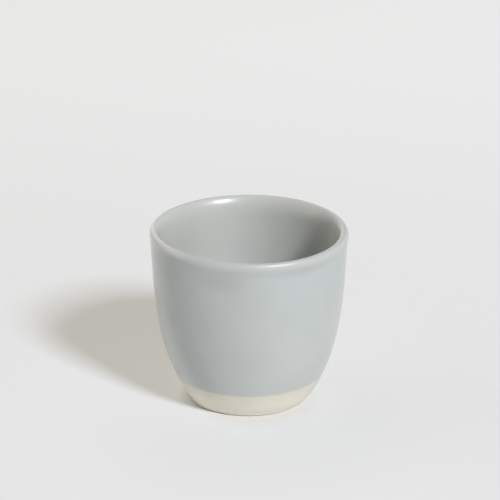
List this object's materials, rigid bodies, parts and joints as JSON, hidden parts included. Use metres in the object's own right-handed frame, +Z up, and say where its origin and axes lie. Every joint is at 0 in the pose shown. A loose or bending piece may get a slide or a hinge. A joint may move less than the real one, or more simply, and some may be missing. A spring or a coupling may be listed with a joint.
{
  "type": "espresso cup",
  "caption": "Small round-bellied stoneware cup without a handle, with a soft grey glaze inside and out and a band of bare clay at the foot; holds a single espresso.",
  "frame": {"origin": "centre of the foot, on the table plane", "axes": "+Z up along the axis of the cup; the cup is round, so +X and +Y are free, and -Y faces the camera of the picture"},
  "size_m": [0.0644, 0.0644, 0.0584],
  "materials": {
    "bare_clay": "matt fired clay, cream, with fine turning lines",
    "glaze": "satin glaze, pale grey with a hint of blue-green"
  },
  "bodies": {
    "root": {"clay_body": "bare_clay", "liner_glaze": "glaze", "outer_glaze": "glaze"}
  },
  "joints": []
}
